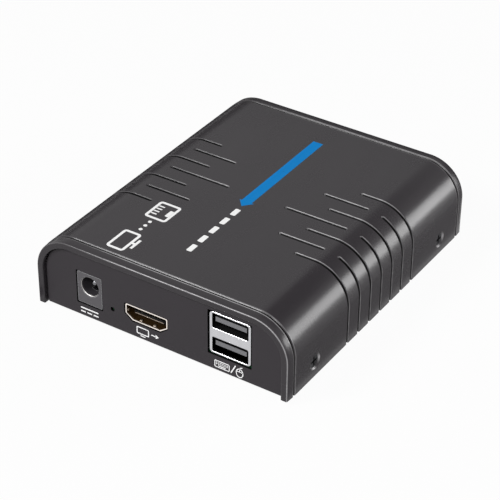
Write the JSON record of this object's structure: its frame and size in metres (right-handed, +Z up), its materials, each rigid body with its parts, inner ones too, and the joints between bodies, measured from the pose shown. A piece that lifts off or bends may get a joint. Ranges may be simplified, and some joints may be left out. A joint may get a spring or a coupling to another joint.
{
  "type": "video extender receiver",
  "caption": "Small box with rounded grooved cover that turns network cable signals into video; power jack, video port and stacked peripheral ports in front, network jack behind.",
  "frame": {"origin": "under the middle of the box, level with the undersides of its feet", "axes": "+Z up, -Y the way the front panel with the power jack and video port faces, +X to the right seen from the front"},
  "size_m": [0.09, 0.106, 0.027],
  "materials": {
    "cover_plastic": "fine moulded grain",
    "tray_paint": "fine powder coat",
    "dark_steel": "blackened",
    "foot_rubber": "matt",
    "board_laminate": "satin mask",
    "standoff_brass": "plain",
    "bright_steel": "bright plated",
    "jack_plastic": "satin",
    "contact_nickel": "polished",
    "contact_gold": "polished",
    "gold_plating": "satin",
    "black_plastic": "satin",
    "tongue_plastic": "satin",
    "plunger_plastic": "satin",
    "lamp_green": "clear tinted",
    "lamp_amber": "clear tinted",
    "lamp_red": "clear tinted",
    "chip_resin": "matt",
    "pad_silicone": "soft",
    "sink_aluminium": "natural",
    "can_aluminium": "bright",
    "coil_ferrite": "matt"
  },
  "bodies": {
    "receiver": {"base_tray": "tray_paint", "board_screws": "bright_steel", "board_standoffs": "standoff_brass", "capacitor_1": "can_aluminium", "capacitor_2": "can_aluminium", "cover_screws": "dark_steel", "crystal_1": "bright_steel", "crystal_2": "bright_steel", "flash_chip": "chip_resin", "foot_front_left": "foot_rubber", "foot_front_right": "foot_rubber", "foot_rear_left": "foot_rubber", "foot_rear_right": "foot_rubber", "heat_sink": "sink_aluminium", "inductor_1": "coil_ferrite", "inductor_2": "coil_ferrite", "link_lamp": "lamp_green", "link_lamp_holder": "black_plastic", "main_board": "board_laminate", "memory_chip_1": "chip_resin", "memory_chip_2": "chip_resin", "network_chip": "chip_resin", "network_jack_contacts": "contact_gold", "network_jack_housing": "black_plastic", "network_jack_shield": "bright_steel", "network_lamp_left": "lamp_green", "network_lamp_right": "lamp_amber", "network_transformer": "chip_resin", "peripheral_port_contacts": "contact_gold", "peripheral_port_insulator": "tongue_plastic", "peripheral_port_shell": "bright_steel", "power_jack_body": "jack_plastic", "power_jack_pin": "contact_nickel", "power_jack_spring": "contact_nickel", "power_lamp": "lamp_red", "power_lamp_holder": "black_plastic", "processor": "chip_resin", "regulator_1": "chip_resin", "regulator_2": "chip_resin", "reset_switch_frame": "bright_steel", "reset_switch_housing": "black_plastic", "thermal_pad": "pad_silicone", "top_cover": "cover_plastic", "video_driver_chip": "chip_resin", "video_port_contacts": "contact_gold", "video_port_insulator": "black_plastic", "video_port_shell": "gold_plating"},
    "reset_button": {"reset_plunger": "plunger_plastic"}
  },
  "joints": [
    {"name": "reset_press", "type": "slide", "parent": "receiver", "child": "reset_button", "axis": [0, 1, 0], "range_m": [0, 0.00025], "stiffness_N_per_m": 2000}
  ]
}
